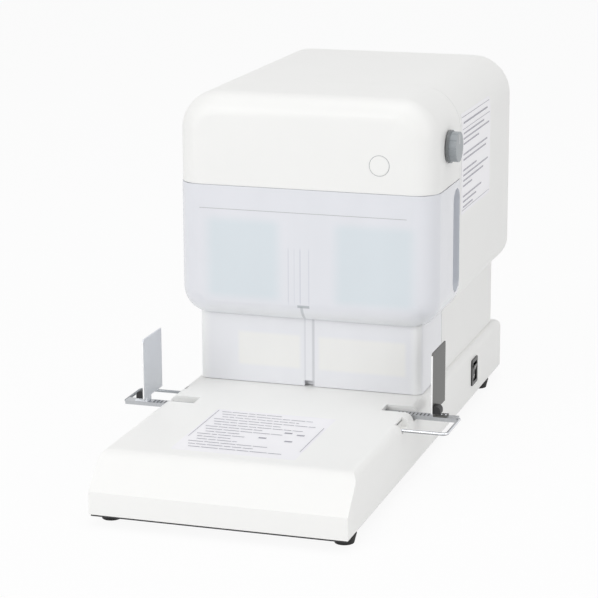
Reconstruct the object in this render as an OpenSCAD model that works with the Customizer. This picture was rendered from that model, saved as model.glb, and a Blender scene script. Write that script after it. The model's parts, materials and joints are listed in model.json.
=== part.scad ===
// Electric two-hole desk paper drill.
// X runs across the machine, +Y towards its back, Z up from the desk.
// The origin lies on the desk under the middle of the base.

/* [Base] */
// Width of the base
base_w = 262; // [250:1:290]
// Depth of the base, front to back
base_d = 638; // [620:1:680]
// Height of the base housing above the feet
base_h = 58.5; // [54:0.5:66]
// Upright part of the nose, from the feet up
nose_h = 25; // [15:1:35]
// Radius that blends the sloped nose into the table
nose_r = 22; // [5:1:40]
// Radius along the two long top edges
base_edge_r = 9; // [3:0.5:14]
// Wall of the base housing
base_wall = 3; // [2:0.5:4]
// Thickness of the steel bottom plate
plate_t = 2; // [1:0.5:3]
// Edge of the bottom plate in from the sides of the base
plate_in = 1.5; // [0.5:0.5:4]
// Height of the rubber feet
foot_h = 10; // [6:1:16]
// Diameter of a foot where it meets the base
foot_d = 24; // [16:1:30]
// Foot centre from the side of the base
foot_in = 12; // [11:0.5:25]
// Front foot centre from the front of the base
foot_front = 29; // [20:1:60]
// Back foot centre from the back of the base
foot_back = 61; // [30:1:120]

/* [Head] */
// Overhang of the head past each side of the base
head_over = 9.8; // [4:0.1:12]
// Depth of the head
head_d = 354; // [345:1:370]
// Height of the head
head_h = 241.3; // [240:0.1:255]
// Head's back face from the back of the base
head_back = 3.7; // [1:0.1:10]
// Clear height between table and head
throat_h = 73.2; // [70:0.2:85]
// Radius of the two long top edges
head_top_r = 43; // [30:1:50]
// Radius of the two long bottom edges
head_low_r = 30; // [28:1:36]
// Radius around the front face
head_front_r = 25; // [12:1:27]
// Radius around the back face
head_back_r = 12; // [6:1:20]
// Wall of the head housings
head_wall = 3; // [2:0.5:3.5]
// Depth of the front cover and chip bin
cover_d = 103.7; // [100:0.1:108]
// Height of the chip bin
bin_h = 144; // [140:0.2:148]
// Gap along the seams of the housing
seam_gap = 0.4; // [0.2:0.1:1]

/* [Chip bin and guard] */
// Wall of the clear plastic bin
bin_wall = 2.2; // [1.6:0.2:3]
// How far the bin stands proud of the cover
bin_proud = 0.8; // [0:0.1:1.5]
// Height above the bin's floor where the chip space widens
bin_step = 64; // [60:1:80]
// Width of the finger recess in the bin's side
recess_w = 27; // [20:1:30]
// Height of the finger recess
recess_h = 112; // [80:1:120]
// Depth of the finger recess
recess_d = 8; // [5:0.5:9]
// Side of the column in from the side of the head
column_in = 17.6; // [15:0.1:20]
// Back of the column in from the back of the head
column_back = 15.3; // [12:0.1:25]
// Wall of the column cover
column_wall = 3; // [2:0.5:3]
// Wall of the guard
guard_wall = 2.5; // [2:0.1:3]
// Distance of the guard's face behind the head's face
guard_in = 16.7; // [15.5:0.1:19]
// How far the guard lifts
guard_travel = 52; // [50:1:54]
// Width of the rib down the middle of the guard
guard_rib_w = 17; // [10:1:24]

/* [Drilling] */
// Distance between the two holes
hole_pitch = 80; // [78:0.5:82]
// Hole centre from the edge of the paper
hole_margin = 12; // [10:0.5:14]
// Fence face ahead of the column
fence_ahead = 23; // [21:0.5:25]
// Height of the fence
fence_h = 51; // [40:1:53]
// Outer diameter of a hollow bit
bit_d = 6; // [5:0.1:8]
// Wall of a hollow bit
bit_wall = 0.7; // [0.5:0.1:1.2]
// Height of the resting bits above the table
bit_lift = 66; // [62:0.5:68]
// Gap left under the bits at the bottom of the stroke
cut_gap = 0.3; // [0.1:0.1:1]
// Diameter of a cutting disc
disc_d = 26; // [20:1:30]
// Thickness of a cutting disc
disc_t = 6; // [4:0.5:8]
// Diameter of a guide post
post_d = 20; // [16:1:22]
// Diameter of the feed screw
screw_d = 14; // [10:1:16]
// Thickness of the steel side plates
side_t = 4; // [3:0.5:5]
// Diameter of a spindle pulley
pulley_d = 28; // [24:1:30]
// Diameter of the motor pulley
motor_pulley_d = 18; // [14:1:22]
// Diameter of the drill motor
motor_d = 70; // [60:1:72]
// Height of the drill motor
motor_h = 76; // [60:1:80]
// Diameter of a chip tube
chip_d = 18; // [17:0.5:19]
// Stroke of the clamp against its springs
clamp_travel = 50; // [40:1:52]
// Width of the slots in the clamp for the bits
clamp_slot = 14; // [10:1:16]

/* [Paper guides] */
// Gap between the guides at their widest
guide_gap = 300; // [297:0.5:303]
// Length of a finger grip at the foot of a guide plate
grip_len = 12; // [8:1:16]
// How far a finger grip stands out from its plate
grip_out = 8; // [5:0.5:11]
// How far each guide moves in
guide_travel = 43.5; // [35:0.5:44]
// Length of a guide plate along the paper
guide_len = 53; // [40:1:60]
// Height of a guide plate above the table
guide_h = 65; // [40:1:70]
// Thickness of a guide plate
guide_t = 1.6; // [1:0.1:2.5]
// Pinion centre ahead of the fence
guide_ahead = 130; // [124:1:140]
// Module of the rack and pinion teeth
gear_m = 1.25; // [1:0.25:1.25]
// Teeth on the pinion, an even number
pinion_teeth = 16; // [14:2:18]
// Width of a rack arm
arm_w = 12; // [8:0.5:12]
// Thickness of a rack arm
arm_t = 4; // [3:0.5:4]
// Diameter of a guide's steel rod
rod_d = 3.2; // [3:0.1:4]
// Right rod ahead of the pinion
rod_far_right = 36; // [32:0.5:40]
// Left rod behind the pinion
rod_far_left = 26.5; // [26.5:0.5:30]
// Guide plates back from the middle of their arms
plate_shift = 12; // [8:0.5:16]

/* [Controls] */
// Diameter of the start button
button_d = 20.7; // [16:0.1:24]
// Start button from the middle of the head
button_x = 81.4; // [76:0.1:84]
// Start button above the lower edge of the cover
button_up = 29.3; // [20:0.1:36]
// Travel of the start button
button_travel = 3; // [1:0.5:3]
// Diameter of the depth knob
knob_d = 34.5; // [28:0.5:38]
// Length of the depth knob
knob_l = 11; // [8:1:18]
// Depth knob from the head's front face
knob_back = 52.7; // [48:0.1:60]
// Depth knob above the lower edge of the cover
knob_up = 43.5; // [30:0.5:45]
// Power inlet from the middle of the base, on the left
inlet_x = 70; // [40:1:90]
// Width of the power inlet
inlet_w = 30; // [28:0.5:34]
// Height of the power inlet
inlet_h = 24; // [22:0.5:28]
// Power switch from the back of the base
switch_back = 135; // [100:1:160]
// Height of the power switch's frame
switch_h = 30; // [26:1:34]
// Width of the power switch's frame
switch_w = 26; // [20:1:30]

/* [Fits] */
// Clearance of a running fit, on the radius
run_fit = 0.05; // [0.02:0.01:0.08]
// Gap of a loose part that slides or is guided
slide_gap = 0.4; // [0.3:0.1:0.8]
// Gap at a seat where a loose part rests
seat_gap = 0.3; // [0.2:0.05:0.5]
// Play of the teeth along the pitch line
backlash = 0.12; // [0.05:0.01:0.2]

/* [Hidden] */
$fn = 64;

eps = 0.01;
big = 1000;

// Levels of the base
base_z0 = foot_h + plate_t;
table_z = foot_h + base_h;
table_under = table_z - base_wall;
front_y = -base_d / 2;
back_y = base_d / 2;
nose_z = foot_h + nose_h;

// Head
head_w = base_w + 2 * head_over;
head_z0 = table_z + throat_h;
head_z1 = head_z0 + head_h;
head_y1 = back_y - head_back;
head_y0 = head_y1 - head_d;
seam_y = head_y0 + cover_d;
bin_z1 = head_z0 + bin_h;

// Column and frame
column_x = head_w / 2 - column_in;
column_y0 = seam_y;
column_y1 = head_y1 - column_back;
column_lap = 9;
frame_gap = 6.7;
side_out = column_x - frame_gap;
side_in = side_out - side_t;
side_y0 = column_y0 + 7;
side_y1 = column_y1 - 10;
top_t = 6;
top_gap = 13;
top_z0 = head_z1 - top_gap - top_t;
nose_y0 = head_y0 + 43.7;
nose_plate_z0 = bin_z1 - 26.5;

// Drilling: places in plan and levels at rest
fence_y = column_y0 - fence_ahead;
fence_t = 2;
drill_y = fence_y - hole_margin;
hole_x = hole_pitch / 2;
tip_z = table_z + bit_lift;
stroke = bit_lift - cut_gap;
rod_x = hole_x + 26;
clamp_rod_r = 3;
clamp_half = rod_x + 9;
clamp_z0 = tip_z + 1.5;
clamp_t = 6;
clamp_z1 = clamp_z0 + clamp_t;
clamp_front = drill_y - 20;
clamp_back = fence_y - 1;
chuck_z = clamp_z1 + clamp_travel + 0.5;
chuck_r = 8;
chuck_h = 12.5;
carriage_z0 = chuck_z + chuck_h;
carriage_h = 30;
carriage_z1 = carriage_z0 + carriage_h;
pulley_z0 = carriage_z1 + 4;
pulley_h = 11;
bracket_z0 = pulley_z0 + pulley_h + 6;
bracket_t = 4;
bracket_z1 = bracket_z0 + bracket_t;
wall_top = carriage_z0 - stroke - 4.3;
post_boss_r = post_d / 2 + 9;
post_x = side_in - post_boss_r - 3;
post_y = column_y0 + 27;
screw_y = column_y0 + 47;
screw_boss_r = 18;
nut_r = 12;
motor_y = drill_y + 32;
bearing_r = 14;
belt_t = 1.5;
spring_wire = 1.6;
spring_r = 5.2;
spindle_r = 9;
tube_r = chip_d / 2;
tube_wall = 1.6;
tube_bend = 12;
upper_r = tube_r - tube_wall - slide_gap;
spindle_top = top_z0 - 26;
mouth_y = head_y0 + 25.7;

// Guard and bin
guard_y0 = head_y0 + guard_in;
guard_z0 = table_z + 0.5;
guard_z1 = head_z0 + 8;
guard_y1 = column_y0 - 2;
channel_x = column_x + 2.3;
channel_y = guard_y0 - 3;
bin_shelf_y = nose_y0 - 5;
bin_shelf_rise = 6;
bin_rib_x = [-16, 2];
bin_rib_t = 2;
bin_rib_top = bin_z1 - 26;
recess_y = seam_y - 1.5 - recess_w / 2;
recess_z = head_z0 + 24 + recess_h / 2;
rail_z1 = bin_z1 - 9.2;
rail_t = 4.7;
flange_t = 3;

// Paper guides: the pinion turns between the two racks
pinion_y = fence_y - guide_ahead;
pitch_r = gear_m * pinion_teeth / 2;
pitch = PI * gear_m;
root = 1.25 * gear_m;
arm_z1 = table_under - 1.5;
arm_z0 = arm_z1 - arm_t;
tray_z1 = arm_z0 - seat_gap;
tray_t = 3.5;
rod_z = (arm_z0 + arm_z1) / 2;
rod_r = rod_d / 2;
arm_mid = pitch_r + root + arm_w / 2;
slot_w = arm_w + root + gear_m + 7;
slot_x = guide_gap / 2 - guide_travel - 9.5;
guide_x = guide_gap / 2;
rod_x_out = base_w / 2 + guide_travel + 0.5 + rod_r;
notch_right = [-3, 24];
notch_left = [-5, 5];

// Controls
button_z = bin_z1 + button_up;
knob_y = head_y0 + knob_back;
knob_z = bin_z1 + knob_up;
switch_y = back_y - switch_back;
switch_z = foot_h + 30.5;
inlet_z = foot_h + 29;
inlet_d = 24;
rocker_tilt = 8;

// ---------- shared forms ----------

// Points on an arc in the plane
function arc(c, r, a0, a1, n = 10) =
    [for (i = [0:n]) c + r * [cos(a0 + (a1 - a0) * i / n), sin(a0 + (a1 - a0) * i / n)]];

// Right-hand copy as drawn, left-hand copy mirrored
module side(s) {
    if (s > 0) children(); else mirror([1, 0, 0]) children();
}

module both_sides() {
    for (s = [-1, 1]) side(s) children();
}

// Box between two opposite corners
module block(a, b) {
    translate(a) cube(b - a);
}

// Solid from a profile in the Y-Z plane, between two X values
module along_x(x0, x1) {
    translate([x0, 0, 0]) rotate([90, 0, 90]) linear_extrude(x1 - x0) children();
}

// Solid from a profile in the X-Z plane, between two Y values
module along_y(y0, y1) {
    translate([0, y1, 0]) rotate([90, 0, 0]) linear_extrude(y1 - y0) children();
}

// Tube or rod along Z, from one level to another
module upright(x, y, z0, z1, r) {
    translate([x, y, z0]) cylinder(h = z1 - z0, r = r);
}

// Rod along X
module rod_along_x(x0, x1, y, z, r) {
    translate([x0, y, z]) rotate([0, 90, 0]) cylinder(h = x1 - x0, r = r);
}

// Rectangle with rounded corners
module round_rect(w, h, r) {
    square([w - 2 * r, h], center = true);
    square([w, h - 2 * r], center = true);
    for (x = [-1, 1], y = [-1, 1])
        translate([x * (w / 2 - r), y * (h / 2 - r)]) circle(r);
}

// Corner cones of the head's rounded section, from y0 to y1, drawn in by inset0 and inset1
module head_corners(y0, y1, inset0, inset1) {
    for (s = [-1, 1]) {
        translate([s * (head_w / 2 - head_top_r), y0, head_z1 - head_top_r]) rotate([-90, 0, 0])
            cylinder(h = y1 - y0, r1 = head_top_r - inset0, r2 = head_top_r - inset1, $fn = 48);
        translate([s * (head_w / 2 - head_low_r), y0, head_z0 + head_low_r]) rotate([-90, 0, 0])
            cylinder(h = y1 - y0, r1 = head_low_r - inset0, r2 = head_low_r - inset1, $fn = 48);
    }
}

// The head's outline, rounded around its front, and around its back if back_r is set, grown by g
module head_form(g, back_r = 0) {
    fr = head_front_r + g;
    br = back_r + g;
    y_back = head_y1 + g;
    hull() {
        for (a = [0:15:75])
            head_corners(head_y0 - g + fr * (1 - cos(a)), head_y0 - g + fr * (1 - cos(a + 15)),
                -g + fr * (1 - sin(a)), -g + fr * (1 - sin(a + 15)));
        if (back_r > 0)
            for (a = [0:30:60])
                head_corners(y_back - br * (1 - cos(a + 30)), y_back - br * (1 - cos(a)),
                    -g + br * (1 - sin(a + 30)), -g + br * (1 - sin(a)));
        else
            head_corners(y_back - 20, y_back, -g, -g);
    }
}

// ---------- base ----------

module nose_profile(inset) {
    run = table_z - nose_z;
    c = [front_y + run + nose_r * tan(22.5), table_z - nose_r];
    polygon(concat(
        [[front_y + inset, base_z0 - (inset > 0 ? 1 : 0)], [front_y + inset, nose_z - inset * tan(22.5)]],
        arc(c, nose_r - inset, 135, 90),
        arc([back_y - base_edge_r, table_z - base_edge_r], base_edge_r - inset, 90, 0, 6),
        [[back_y - inset, base_z0 - (inset > 0 ? 1 : 0)]]));
}

module base_section(inset) {
    w = base_w / 2 - inset;
    c = base_w / 2 - base_edge_r;
    polygon(concat(
        [[w, 0]],
        arc([c, table_z - base_edge_r], base_edge_r - inset, 0, 90),
        arc([-c, table_z - base_edge_r], base_edge_r - inset, 90, 180),
        [[-w, 0]]));
}

module base_form(inset) {
    intersection() {
        along_x(-base_w, base_w) nose_profile(inset);
        along_y(-base_d, base_d) base_section(inset);
    }
}

// Slot for a rack arm, with the hole for its rod and a notch in the shoulder beside it
module guide_openings(far, notch) {
    y = pinion_y + arm_mid - (root + gear_m) / 2;
    y_rod = pinion_y - far;
    block([slot_x, y - slot_w / 2, arm_z0 - 1.5], [base_w, y + slot_w / 2, big]);
    rod_along_x(base_w / 2 - 40, base_w, y_rod, rod_z, rod_r + slide_gap);
    block([base_w / 2 - 8, y_rod + notch[0], rod_z - 3], [base_w, y_rod + notch[1], big]);
}

module turned_about_pinion() {
    translate([0, pinion_y, 0]) rotate([0, 0, 180]) translate([0, -pinion_y, 0]) children();
}

module base_housing() color("#EFECE7") {
    difference() {
        base_form(0);
        base_form(base_wall);
        // room for the frame, posts and feed screw under the column
        block([-side_out - 1, side_y0 - 1, base_z0], [side_out + 1, side_y1 + 1, big]);
        for (s = [-1, 1])
            upright(s * hole_x, drill_y, table_under - 1, table_z + 1, disc_d / 2 + seat_gap);
        guide_openings(rod_far_right, notch_right);
        turned_about_pinion() guide_openings(rod_far_left, notch_left);
        // power switch and inlet
        block([base_w / 2 - base_wall - 1, switch_y - switch_w / 2 + 2, switch_z - switch_h / 2 + 2],
            [base_w, switch_y + switch_w / 2 - 2, switch_z + switch_h / 2 - 2]);
        block([-inlet_x - inlet_w / 2, back_y - base_wall - 1, inlet_z - inlet_h / 2],
            [-inlet_x + inlet_w / 2, back_y + 1, inlet_z + inlet_h / 2]);
    }
    // ribs that stiffen the table from below
    for (x = [-72, 72])
        block([x - 1, front_y + 60, table_under - 8], [x + 1, pinion_y - 50, table_under]);
}

module base_plate() color("#3A3A3C") {
    block([-base_w / 2 + plate_in, front_y + plate_in, foot_h],
        [base_w / 2 - plate_in, back_y - plate_in, base_z0]);
}

module feet() color("#1C1C1D") {
    for (s = [-1, 1], y = [front_y + foot_front, back_y - foot_back])
        translate([s * (base_w / 2 - foot_in), y, 0]) {
            cylinder(h = foot_h, r1 = foot_d / 2 - 2.5, r2 = foot_d / 2);
        }
}

module power_inlet() color("#202022") {
    difference() {
        block([-inlet_x - inlet_w / 2 + seat_gap, back_y - inlet_d, inlet_z - inlet_h / 2 + seat_gap],
            [-inlet_x + inlet_w / 2 - seat_gap, back_y, inlet_z + inlet_h / 2 - seat_gap]);
        translate([-inlet_x, back_y + 1, inlet_z])
            rotate([90, 0, 0]) linear_extrude(17) round_rect(24, 17, 3);
    }
}

module switch_frame() color("#1B1B1C") {
    x = base_w / 2;
    body_w = switch_w / 2 - 2 - seat_gap;
    body_h = switch_h / 2 - 2 - seat_gap;
    difference() {
        union() {
            translate([x, switch_y, switch_z]) rotate([90, 0, 90])
                linear_extrude(1.6) round_rect(switch_w, switch_h, 1.5);
            block([side_out + 0.5, switch_y - body_w, switch_z - body_h],
                [x + eps, switch_y + body_w, switch_z + body_h]);
        }
        block([x - 12.5, switch_y - switch_w / 2 + 4.5, switch_z - switch_h / 2 + 4],
            [x + 5, switch_y + switch_w / 2 - 4.5, switch_z + switch_h / 2 - 4]);
        rod_between([x - 8, switch_y - switch_w / 2 + 3.4, switch_z], switch_w - 6.8, 1 + run_fit);
    }
}

// Round pin or hole along +Y
module rod_between(start, length, r) {
    translate(start) rotate([-90, 0, 0]) cylinder(h = length, r = r, $fn = 32);
}

module rocker() color("#151516") {
    h = switch_h / 2 - 5.6;
    translate([base_w / 2 - 8, 0, switch_z]) rotate([0, rocker_tilt, 0]) {
        along_y(switch_y - switch_w / 2 + 4.8, switch_y + switch_w / 2 - 4.8)
            polygon([[-3, -h + 4.4], [9.5, -h], [8.4, 0], [9.5, h], [-3, h - 4.4]]);
        rod_between([0, switch_y - switch_w / 2 + 3.6, 0], switch_w - 7.2, 1);
    }
}

// Transformer: foot plate, iron core and the winding that stands out on both sides
module power_supply() color("#8E8F93") {
    foot = [60, 70, 4];
    core = [40, 62, 40];
    winding = [52, 38, 28];
    translate([-side_in + 7 + foot[0] / 2, side_y1 - 20 - foot[1] / 2, base_z0]) {
        translate([-foot[0] / 2, -foot[1] / 2, 0]) cube(foot);
        translate([-core[0] / 2, -core[1] / 2, foot[2]]) cube(core);
        translate([-winding[0] / 2, -winding[1] / 2, foot[2] + (core[2] - winding[2]) / 2]) cube(winding);
    }
}

// ---------- frame ----------

module side_plate(s) color("#A7AAAE") side(s) {
    difference() {
        along_x(side_in, side_out) polygon([
            [side_y0, base_z0], [side_y1, base_z0], [side_y1, top_z0], [nose_y0 + 16, top_z0],
            [nose_y0, top_z0 - 16], [nose_y0, nose_plate_z0], [side_y0 - 12, nose_plate_z0],
            [side_y0, nose_plate_z0 - 16]]);
        // lightening holes behind the guide posts
        for (z = [table_z + 60, table_z + 150])
            rod_along_x(side_in - 1, side_out + 1, side_y1 - 60, z, 28);
    }
}

module top_plate() color("#A7AAAE") {
    window_half = 50;
    difference() {
        block([-side_out, side_y0, top_z0], [side_out, side_y1, top_z0 + top_t]);
        upright(0, screw_y, top_z0 - 1, top_z0 + top_t + 1, screw_d / 2 + run_fit);
        // window over the wiring
        block([-window_half, screw_y + 50, top_z0 - 1], [window_half, side_y1 - 40, top_z0 + top_t + 1]);
    }
}

module guide_posts() color("#D5D8DC") {
    for (s = [-1, 1])
        upright(s * post_x, post_y, base_z0, top_z0, post_d / 2);
}

module die_block() color("#8F9296") {
    difference() {
        block([-clamp_half, drill_y - 24, base_z0], [clamp_half, fence_y + 18, table_under]);
        for (s = [-1, 1])
            upright(s * hole_x, drill_y, table_z - disc_t, table_z, disc_d / 2 + run_fit);
    }
}

module cutting_disc(s) color("#F1EBD6") {
    difference() {
        upright(s * hole_x, drill_y, table_z - disc_t, table_z, disc_d / 2);
        upright(s * hole_x, drill_y - disc_d / 2 + 3.5, table_z - 1, table_z + 1, 1.2);
    }
}

module paper_fence() color("#B9BCC0") {
    half = side_in - 6;
    block([-half, fence_y, table_z], [half, fence_y + fence_t, table_z + fence_h]);
    difference() {
        block([-half, fence_y + fence_t, table_z], [half, column_y0 - 1, table_z + fence_t]);
        for (x = [-1, 0, 1])
            upright(x * (half - 16), column_y0 - 11, table_z - 1, table_z + fence_t + 1, 2.2);
    }
}

module column_cover() color("#F1F1F0") {
    difference() {
        block([-column_x, column_y0, table_z], [column_x, column_y1, head_z0 + column_lap]);
        block([-column_x + column_wall, column_y0 + column_wall, table_z - 1],
            [column_x - column_wall, column_y1 - column_wall, big]);
        block([-column_x + column_wall, column_y0 - 1, wall_top],
            [column_x - column_wall, column_y0 + column_wall + 1, big]);
    }
}

// ---------- head housings ----------

module rear_housing() color("#E9E9E6") {
    difference() {
        intersection() {
            head_form(0, head_back_r);
            block([-big, seam_y + seam_gap / 2, 0], [big, big, big]);
        }
        head_form(-head_wall, head_back_r);
        // the column comes up through the floor
        block([-column_x - seat_gap, 0, 0],
            [column_x + seat_gap, column_y1 + seat_gap, head_z0 + column_lap + 1]);
        // cooling slots in the back
        for (x = [-60:10:60])
            block([x - 1.6, head_y1 - head_wall - 2, head_z1 - 110], [x + 1.6, big, head_z1 - 60]);
    }
    // bosses that carry the housing on the top plate
    for (s = [-1, 1], y = [side_y0 + 20, side_y1 - 20])
        upright(s * (side_out - 22), y, top_z0 + top_t, head_z1 - head_wall + eps, 6);
}

module front_cover() color("#F5F5F3") {
    difference() {
        intersection() {
            head_form(0);
            block([-big, -big, bin_z1], [big, seam_y - seam_gap / 2, big]);
        }
        head_form(-head_wall);
        translate([button_x, head_y0 - 1, button_z]) rotate([-90, 0, 0])
            cylinder(h = head_wall + 3, r = button_d / 2 + seat_gap);
        rod_along_x(head_w / 2 - head_wall - 2, head_w / 2 + 2, knob_y, knob_z, 3 + slide_gap);
    }
}

// ---------- chip bin, guard and their rails ----------

// Way through the bin's floor for the guard, behind the chip room
module carriage_room() {
    block([-channel_x, channel_y, 0], [channel_x, big, head_z0 + bin_step / 2]);
}

// Finger recess in the bin's side, grown by g
module recess(g) {
    x1 = head_w / 2 + bin_proud;
    translate([x1 - recess_d - g, recess_y, recess_z]) rotate([90, 0, 90])
        linear_extrude(recess_d + 5) round_rect(recess_w + 2 * g, recess_h + 2 * g, recess_w / 2 - 0.5 + g);
}

// Side view of the space ahead of the chip room's rear wall, its back drawn in by inset
module chip_room_profile(y0, inset) {
    step_z = head_z0 + bin_step;
    polygon([
        [y0, 0], [channel_y - inset, 0], [channel_y - inset, step_z],
        [bin_shelf_y - inset, step_z + bin_shelf_rise], [bin_shelf_y - inset, big], [y0, big]]);
}

// Hollows of the bin: chips between the ribs, and the open space behind the chip room's rear wall
module bin_rooms() {
    front = head_y0 - 5;
    left = bin_rib_x[0];
    right = bin_rib_x[1];
    half_t = bin_rib_t / 2;
    for (x = [[-big, left - half_t], [left + half_t, right - half_t], [right + half_t, big]])
        along_x(x[0], x[1]) chip_room_profile(front, bin_wall);
    block([left - 2, front, bin_rib_top], [right + 2, channel_y - bin_wall, big]);
    difference() {
        block([-big, channel_y, 0], [big, big, big]);
        along_x(-big - 1, big + 1) chip_room_profile(front, 0);
        both_sides() recess(bin_wall);
    }
}

module chip_bin() color("#D6E0E8", 0.6) {
    difference() {
        intersection() {
            head_form(bin_proud);
            block([-big, -big, 0], [big, seam_y - seam_gap, bin_z1 - seam_gap]);
        }
        intersection() {
            head_form(bin_proud - bin_wall);
            bin_rooms();
        }
        carriage_room();
        both_sides() recess(0);
    }
    // flanges that hang the bin on its rails
    both_sides()
        block([channel_x - 4, bin_shelf_y + 1, rail_z1 + seat_gap],
            [head_w / 2 + bin_proud - bin_wall / 2, seam_y - 4, rail_z1 + seat_gap + flange_t]);
}

module bin_rails() color("#B9BCC0") {
    both_sides()
        block([side_out, nose_y0, rail_z1 - rail_t], [channel_x - 0.5, seam_y + 10, rail_z1]);
}

module lower_guard() color("#E2E5EA", 0.55) {
    w = column_x;
    difference() {
        union() {
            translate([0, (guard_y0 + guard_y1) / 2, guard_z0])
                linear_extrude(guard_z1 - guard_z0) round_rect(2 * w, guard_y1 - guard_y0, 8);
            block([-w, guard_y0 + 20, guard_z0], [w, guard_y1, guard_z1]);
        }
        translate([0, (guard_y0 + guard_y1) / 2 + 4, guard_z0 - 1])
            linear_extrude(guard_z1 - guard_z0 + 2)
                round_rect(2 * (w - guard_wall), guard_y1 - guard_y0 + 8 - 2 * guard_wall, 8 - guard_wall);
        block([-w + guard_wall, guard_y1 - 20, guard_z0 - 1], [w - guard_wall, big, big]);
        // thumb notch at the foot of the middle rib
        block([-5, guard_y0 - 1, guard_z0 - 1], [5, guard_y0 + guard_wall + 1, guard_z0 + 6]);
    }
    // hollow rib down the middle
    difference() {
        block([-guard_rib_w / 2, guard_y0 + guard_wall - eps, guard_z0],
            [guard_rib_w / 2, guard_y0 + guard_wall + 6, guard_z1]);
        block([-guard_rib_w / 2 + 2, guard_y0 + guard_wall - 1, guard_z0 - 1],
            [guard_rib_w / 2 - 2, guard_y0 + guard_wall + 4, big]);
    }
}

module guard_rails() color("#B9BCC0") {
    both_sides()
        block([side_out, guard_y1 - 18, wall_top + 2],
            [column_x - max(guard_wall, column_wall) - slide_gap, side_y0 + 10,
                guard_z1 + guard_travel + 15]);
}

// ---------- controls ----------

module start_button() color("#F7F7F5") {
    translate([button_x, head_y0 - 0.6, button_z]) rotate([-90, 0, 0]) {
        cylinder(h = head_wall + 5, r = button_d / 2);
        translate([0, 0, head_wall + 0.9]) cylinder(h = 2, r = button_d / 2 + 1.6);
        cylinder(h = 17.5, r = 3);
    }
}

module start_switch() color("#2B2B2E") {
    y0 = head_y0 + 17 + button_travel;
    block([button_x - 16, y0, button_z - 12], [button_x + 16, y0 + 12, button_z + 12]);
    for (x = [-1, 1], z = [-1, 1])
        translate([button_x + x * 14, head_y0 + head_wall, button_z + z * 10]) rotate([-90, 0, 0])
            cylinder(h = y0 - head_y0 - head_wall + eps, r = 2);
}

module depth_control() color("#2B2B2E") {
    difference() {
        block([side_out, knob_y - 12, knob_z - 12],
            [head_w / 2 - head_wall - seat_gap, knob_y + 12, knob_z + 12]);
        rod_along_x(side_out + 6, head_w / 2, knob_y, knob_z, 3 + run_fit);
    }
}

module depth_knob() color("#A9AFB2") {
    x0 = head_w / 2 + 1;
    difference() {
        union() {
            rod_along_x(x0, x0 + 3, knob_y, knob_z, knob_d / 2);
            rod_along_x(x0 + 3 - eps, x0 + knob_l, knob_y, knob_z, knob_d / 2 - 1.5);
            rod_along_x(side_out + 6.5, x0 + eps, knob_y, knob_z, 3);
        }
        // finger grooves around the rim
        for (a = [0:30:359])
            translate([0, knob_y, knob_z]) rotate([a, 0, 0])
                rod_along_x(x0 + 3, x0 + knob_l + 1, knob_d / 2, 0, 2);
    }
}

// ---------- feed ----------

module feed_motor() color("#6F7276") {
    half = 30;
    z1 = table_under - 10;
    difference() {
        block([-half, screw_y - half, base_z0], [half, screw_y + half, z1]);
        for (x = [-1, 1], y = [-1, 1])
            upright(x * (half - 4), screw_y + y * (half - 4), base_z0 + 8, z1 + 1, 1.8);
    }
    difference() {
        upright(0, screw_y, z1 - eps, z1 + 8, 16);
        upright(0, screw_y, z1 - 1, z1 + 9, screw_d / 2 + run_fit);
    }
}

module feed_screw() color("#C4C7CB") {
    upright(0, screw_y, table_under - 10 + seat_gap, top_z0 + top_t - 1, screw_d / 2);
    upright(0, screw_y, table_under + 2, table_under + 10, screw_d / 2 + 4);
}

// ---------- drilling carriage ----------

module carriage() color("#9A9DA2") {
    difference() {
        union() {
            block([-rod_x - 10, drill_y - 22, carriage_z0], [rod_x + 10, fence_y + 8, carriage_z1]);
            block([-30, fence_y + 8 - eps, carriage_z0], [30, screw_y, carriage_z1]);
            upright(0, screw_y, carriage_z0, carriage_z1, screw_boss_r);
            for (s = [-1, 1]) {
                upright(s * post_x, post_y, carriage_z0, carriage_z1, post_boss_r);
                block([s > 0 ? rod_x - 30 : -post_x, fence_y, carriage_z0],
                    [s > 0 ? post_x : -rod_x + 30, post_y + 8, carriage_z1]);
            }
        }
        for (s = [-1, 1]) {
            upright(s * post_x, post_y, carriage_z0 - 1, carriage_z1 + 1, post_d / 2 + run_fit);
            upright(s * hole_x, drill_y, carriage_z0 - 1, carriage_z1 + 1, bearing_r);
            upright(s * rod_x, drill_y, carriage_z0 - 1, carriage_z1 + 1, clamp_rod_r + run_fit);
        }
        upright(0, screw_y, carriage_z0 - 1, carriage_z1 + 1, nut_r);
    }
}

module feed_nut() color("#C9A35A") {
    difference() {
        union() {
            upright(0, screw_y, carriage_z0, carriage_z1 + 6, nut_r);
            upright(0, screw_y, carriage_z1, carriage_z1 + 6, screw_boss_r);
        }
        upright(0, screw_y, carriage_z0 - 1, carriage_z1 + 7, screw_d / 2 + run_fit);
    }
}

// Two ball bearings for each spindle, drawn as rings
module spindle_bearings() color("#C8CBCF") {
    for (s = [-1, 1], z = [carriage_z0, carriage_z1 - 9])
        difference() {
            upright(s * hole_x, drill_y, z, z + 9, bearing_r);
            upright(s * hole_x, drill_y, z - 1, z + 10, spindle_r + run_fit);
        }
}

module motor_bracket() color("#A7AAAE") {
    difference() {
        block([-rod_x + 8, drill_y - 14, bracket_z0], [rod_x - 8, motor_y + motor_d / 2 + 2, bracket_z1]);
        for (s = [-1, 1])
            upright(s * hole_x, drill_y, bracket_z0 - 1, bracket_z1 + 1, tube_r);
        upright(0, motor_y, bracket_z0 - 1, bracket_z1 + 1, 12);
    }
    for (s = [-1, 1], y = [motor_y + 2, motor_y + 28])
        upright(s * (rod_x - 13), y, carriage_z1, bracket_z0 + eps, 4);
}

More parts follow.
